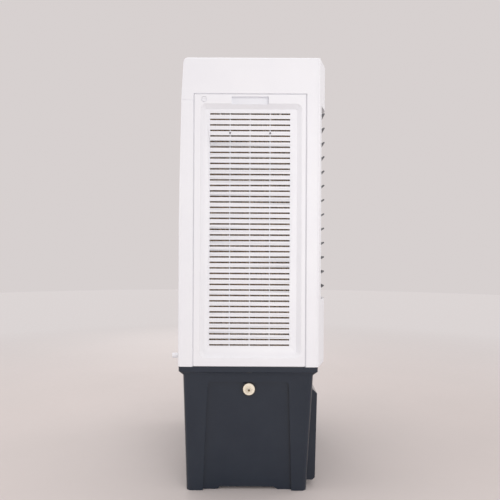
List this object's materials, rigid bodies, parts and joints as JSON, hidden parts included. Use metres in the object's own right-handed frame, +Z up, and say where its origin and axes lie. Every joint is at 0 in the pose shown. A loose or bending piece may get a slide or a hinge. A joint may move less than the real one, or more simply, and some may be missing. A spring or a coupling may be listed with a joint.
{
  "type": "evaporative cooler",
  "caption": "Free-standing evaporative air cooler: louvred outlet and fan in a panelled cabinet with wet pads, standing on a water tank with a float-valve inlet.",
  "frame": {"origin": "middle of the overall footprint, on the floor the cooler stands on", "axes": "+Z up; -Y is the front, where the air leaves; the water inlet and the cord gland are on the -X side"},
  "size_m": [0.73, 0.486, 1.348],
  "materials": {
    "white_plastic": "satin injection-moulded white",
    "tank_plastic": "glossy dark blue-grey moulding",
    "louvre_plastic": "satin charcoal moulding",
    "cream_plastic": "plain cream moulding",
    "clear_plastic": "clear water-level strip",
    "black_rubber": "plain rubber",
    "pad_cellulose": "corrugated brown cellulose",
    "pump_plastic": "black moulding",
    "hose_plastic": "grey flexible hose",
    "control_plastic": "glossy dark control strip",
    "display_glass": "smoked clear window",
    "button_plastic": "satin light grey buttons",
    "board": "green circuit board",
    "steel": "zinc-plated steel",
    "motor_paint": "grey painted motor case",
    "impeller_plastic": "dark grey moulding"
  },
  "bodies": {
    "cabinet": {"tank": "tank_plastic", "level_window": "clear_plastic", "inlet_gasket": "black_rubber", "inlet_fitting": "cream_plastic", "float_valve": "cream_plastic", "pump": "pump_plastic", "riser_hose": "hose_plastic", "water_distributor": "white_plastic", "base_frame": "white_plastic", "rear_frame": "white_plastic", "front_fascia": "white_plastic", "top_cap": "white_plastic", "cord_gland": "white_plastic", "control_panel": "control_plastic", "display_window": "display_glass", "control_board": "board", "fan_shroud": "louvre_plastic", "motor_bracket": "steel", "fan_motor": "motor_paint", "swing_motor": "motor_paint"},
    "panel_left": {"panel_left": "white_plastic", "pad_left": "pad_cellulose", "panel_screws_left": "steel"},
    "panel_lock_left": {"panel_lock_left": "white_plastic"},
    "panel_right": {"panel_right": "white_plastic", "pad_right": "pad_cellulose", "panel_screws_right": "steel"},
    "panel_lock_right": {"panel_lock_right": "white_plastic"},
    "panel_rear": {"panel_rear": "white_plastic", "pad_rear": "pad_cellulose", "panel_screws_rear": "steel"},
    "panel_lock_rear": {"panel_lock_rear": "white_plastic"},
    "impeller": {"impeller": "impeller_plastic"},
    "float_arm": {"float_arm": "cream_plastic"},
    "drain_plug": {"drain_plug": "black_rubber"},
    "louvre_link": {"louvre_link": "louvre_plastic"},
    "swing_link": {"swing_link": "louvre_plastic"},
    "button_power": {"button_power": "button_plastic"},
    "button_speed": {"button_speed": "button_plastic"},
    "button_cool": {"button_cool": "button_plastic"},
    "button_swing": {"button_swing": "button_plastic"},
    "louvre_vane_1": {"louvre_vane_1": "louvre_plastic"},
    "louvre_vane_2": {"louvre_vane_2": "louvre_plastic"},
    "louvre_vane_3": {"louvre_vane_3": "louvre_plastic"},
    "louvre_vane_4": {"louvre_vane_4": "louvre_plastic"},
    "louvre_vane_5": {"louvre_vane_5": "louvre_plastic"},
    "louvre_vane_6": {"louvre_vane_6": "louvre_plastic"},
    "louvre_vane_7": {"louvre_vane_7": "louvre_plastic"},
    "louvre_vane_8": {"louvre_vane_8": "louvre_plastic"},
    "louvre_vane_9": {"louvre_vane_9": "louvre_plastic"},
    "louvre_vane_10": {"louvre_vane_10": "louvre_plastic"},
    "louvre_vane_11": {"louvre_vane_11": "louvre_plastic"},
    "louvre_vane_12": {"louvre_vane_12": "louvre_plastic"},
    "louvre_vane_13": {"louvre_vane_13": "louvre_plastic"},
    "swing_vane_1": {"swing_vane_1": "louvre_plastic"},
    "swing_vane_2": {"swing_vane_2": "louvre_plastic"},
    "swing_vane_3": {"swing_vane_3": "louvre_plastic"},
    "swing_vane_4": {"swing_vane_4": "louvre_plastic"},
    "swing_vane_5": {"swing_vane_5": "louvre_plastic"},
    "swing_vane_6": {"swing_vane_6": "louvre_plastic"}
  },
  "joints": [
    {"name": "panel_left_tilt", "type": "hinge", "parent": "cabinet", "child": "panel_left", "pos_m": [-0.363, 0, 0.396], "axis": [0, -1, 0], "range_deg": [0, 25]},
    {"name": "panel_right_tilt", "type": "hinge", "parent": "cabinet", "child": "panel_right", "pos_m": [0.363, 0, 0.396], "axis": [0, 1, 0], "range_deg": [0, 25]},
    {"name": "panel_rear_tilt", "type": "hinge", "parent": "cabinet", "child": "panel_rear", "pos_m": [0, 0.21, 0.396], "axis": [-1, 0, 0], "range_deg": [0, 25]},
    {"name": "panel_left_lock_turn", "type": "hinge", "parent": "panel_left", "child": "panel_lock_left", "pos_m": [-0.365, 0.1424, 1.2177], "axis": [1, 0, 0], "range_deg": [0, 90]},
    {"name": "panel_right_lock_turn", "type": "hinge", "parent": "panel_right", "child": "panel_lock_right", "pos_m": [0.365, 0.1424, 1.2177], "axis": [1, 0, 0], "range_deg": [0, 90]},
    {"name": "panel_rear_lock_turn", "type": "hinge", "parent": "panel_rear", "child": "panel_lock_rear", "pos_m": [0.2668, 0.212, 1.1835], "axis": [0, 1, 0], "range_deg": [0, 90]},
    {"name": "fan_spin", "type": "hinge", "parent": "cabinet", "child": "impeller", "pos_m": [0, -0.1, 0.889], "axis": [0, -1, 0], "continuous": true},
    {"name": "louvre_tilt", "type": "hinge", "parent": "cabinet", "child": "louvre_vane_7", "pos_m": [0, -0.2165, 0.9029], "axis": [1, 0, 0], "range_deg": [-22, 68]},
    {"name": "louvre_tilt_1", "type": "hinge", "parent": "cabinet", "child": "louvre_vane_1", "pos_m": [0, -0.2165, 1.1735], "axis": [1, 0, 0], "range_deg": [-22, 68]},
    {"name": "louvre_tilt_2", "type": "hinge", "parent": "cabinet", "child": "louvre_vane_2", "pos_m": [0, -0.2165, 1.1284], "axis": [1, 0, 0], "range_deg": [-22, 68]},
    {"name": "louvre_tilt_3", "type": "hinge", "parent": "cabinet", "child": "louvre_vane_3", "pos_m": [0, -0.2165, 1.0833], "axis": [1, 0, 0], "range_deg": [-22, 68]},
    {"name": "louvre_tilt_4", "type": "hinge", "parent": "cabinet", "child": "louvre_vane_4", "pos_m": [0, -0.2165, 1.0382], "axis": [1, 0, 0], "range_deg": [-22, 68]},
    {"name": "louvre_tilt_5", "type": "hinge", "parent": "cabinet", "child": "louvre_vane_5", "pos_m": [0, -0.2165, 0.9931], "axis": [1, 0, 0], "range_deg": [-22, 68]},
    {"name": "louvre_tilt_6", "type": "hinge", "parent": "cabinet", "child": "louvre_vane_6", "pos_m": [0, -0.2165, 0.948], "axis": [1, 0, 0], "range_deg": [-22, 68]},
    {"name": "louvre_tilt_8", "type": "hinge", "parent": "cabinet", "child": "louvre_vane_8", "pos_m": [0, -0.2165, 0.8578], "axis": [1, 0, 0], "range_deg": [-22, 68]},
    {"name": "louvre_tilt_9", "type": "hinge", "parent": "cabinet", "child": "louvre_vane_9", "pos_m": [0, -0.2165, 0.8127], "axis": [1, 0, 0], "range_deg": [-22, 68]},
    {"name": "louvre_tilt_10", "type": "hinge", "parent": "cabinet", "child": "louvre_vane_10", "pos_m": [0, -0.2165, 0.7676], "axis": [1, 0, 0], "range_deg": [-22, 68]},
    {"name": "louvre_tilt_11", "type": "hinge", "parent": "cabinet", "child": "louvre_vane_11", "pos_m": [0, -0.2165, 0.7225], "axis": [1, 0, 0], "range_deg": [-22, 68]},
    {"name": "louvre_tilt_12", "type": "hinge", "parent": "cabinet", "child": "louvre_vane_12", "pos_m": [0, -0.2165, 0.6774], "axis": [1, 0, 0], "range_deg": [-22, 68]},
    {"name": "louvre_tilt_13", "type": "hinge", "parent": "cabinet", "child": "louvre_vane_13", "pos_m": [0, -0.2165, 0.6323], "axis": [1, 0, 0], "range_deg": [-22, 68]},
    {"name": "louvre_link_pivot", "type": "hinge", "parent": "louvre_vane_7", "child": "louvre_link", "pos_m": [0, -0.20224, 0.89364], "axis": [1, 0, 0], "range_deg": [-68, 22]},
    {"name": "swing_turn", "type": "hinge", "parent": "cabinet", "child": "swing_vane_3", "pos_m": [-0.0475, -0.172, 0.9], "axis": [0, 0, 1], "range_deg": [-38, 38]},
    {"name": "swing_turn_1", "type": "hinge", "parent": "cabinet", "child": "swing_vane_1", "pos_m": [-0.2375, -0.172, 0.9], "axis": [0, 0, 1], "range_deg": [-38, 38]},
    {"name": "swing_turn_2", "type": "hinge", "parent": "cabinet", "child": "swing_vane_2", "pos_m": [-0.1425, -0.172, 0.9], "axis": [0, 0, 1], "range_deg": [-38, 38]},
    {"name": "swing_turn_4", "type": "hinge", "parent": "cabinet", "child": "swing_vane_4", "pos_m": [0.0475, -0.172, 0.9], "axis": [0, 0, 1], "range_deg": [-38, 38]},
    {"name": "swing_turn_5", "type": "hinge", "parent": "cabinet", "child": "swing_vane_5", "pos_m": [0.1425, -0.172, 0.9], "axis": [0, 0, 1], "range_deg": [-38, 38]},
    {"name": "swing_turn_6", "type": "hinge", "parent": "cabinet", "child": "swing_vane_6", "pos_m": [0.2375, -0.172, 0.9], "axis": [0, 0, 1], "range_deg": [-38, 38]},
    {"name": "swing_link_pivot", "type": "hinge", "parent": "swing_vane_3", "child": "swing_link", "pos_m": [-0.0475, -0.158, 0.645], "axis": [0, 0, 1], "range_deg": [-38, 38]},
    {"name": "button_power_press", "type": "slide", "parent": "cabinet", "child": "button_power", "axis": [0, 1, 0], "range_m": [0, 0.0015], "stiffness_N_per_m": 600},
    {"name": "button_speed_press", "type": "slide", "parent": "cabinet", "child": "button_speed", "axis": [0, 1, 0], "range_m": [0, 0.0015], "stiffness_N_per_m": 600},
    {"name": "button_cool_press", "type": "slide", "parent": "cabinet", "child": "button_cool", "axis": [0, 1, 0], "range_m": [0, 0.0015], "stiffness_N_per_m": 600},
    {"name": "button_swing_press", "type": "slide", "parent": "cabinet", "child": "button_swing", "axis": [0, 1, 0], "range_m": [0, 0.0015], "stiffness_N_per_m": 600},
    {"name": "float_swing", "type": "hinge", "parent": "cabinet", "child": "float_arm", "pos_m": [-0.28, 0, 0.306], "axis": [0, -1, 0], "range_deg": [0, 28]},
    {"name": "drain_pull", "type": "slide", "parent": "cabinet", "child": "drain_plug", "axis": [0, 1, 0], "range_m": [0, 0.014]}
  ],
  "couplings": [
    {"joint": "louvre_tilt_1", "follows": "louvre_tilt", "ratio": 1},
    {"joint": "louvre_tilt_2", "follows": "louvre_tilt", "ratio": 1},
    {"joint": "louvre_tilt_3", "follows": "louvre_tilt", "ratio": 1},
    {"joint": "louvre_tilt_4", "follows": "louvre_tilt", "ratio": 1},
    {"joint": "louvre_tilt_5", "follows": "louvre_tilt", "ratio": 1},
    {"joint": "louvre_tilt_6", "follows": "louvre_tilt", "ratio": 1},
    {"joint": "louvre_tilt_8", "follows": "louvre_tilt", "ratio": 1},
    {"joint": "louvre_tilt_9", "follows": "louvre_tilt", "ratio": 1},
    {"joint": "louvre_tilt_10", "follows": "louvre_tilt", "ratio": 1},
    {"joint": "louvre_tilt_11", "follows": "louvre_tilt", "ratio": 1},
    {"joint": "louvre_tilt_12", "follows": "louvre_tilt", "ratio": 1},
    {"joint": "louvre_tilt_13", "follows": "louvre_tilt", "ratio": 1},
    {"joint": "louvre_link_pivot", "follows": "louvre_tilt", "ratio": -1},
    {"joint": "swing_turn_1", "follows": "swing_turn", "ratio": 1},
    {"joint": "swing_turn_2", "follows": "swing_turn", "ratio": 1},
    {"joint": "swing_turn_4", "follows": "swing_turn", "ratio": 1},
    {"joint": "swing_turn_5", "follows": "swing_turn", "ratio": 1},
    {"joint": "swing_turn_6", "follows": "swing_turn", "ratio": 1},
    {"joint": "swing_link_pivot", "follows": "swing_turn", "ratio": -1}
  ]
}
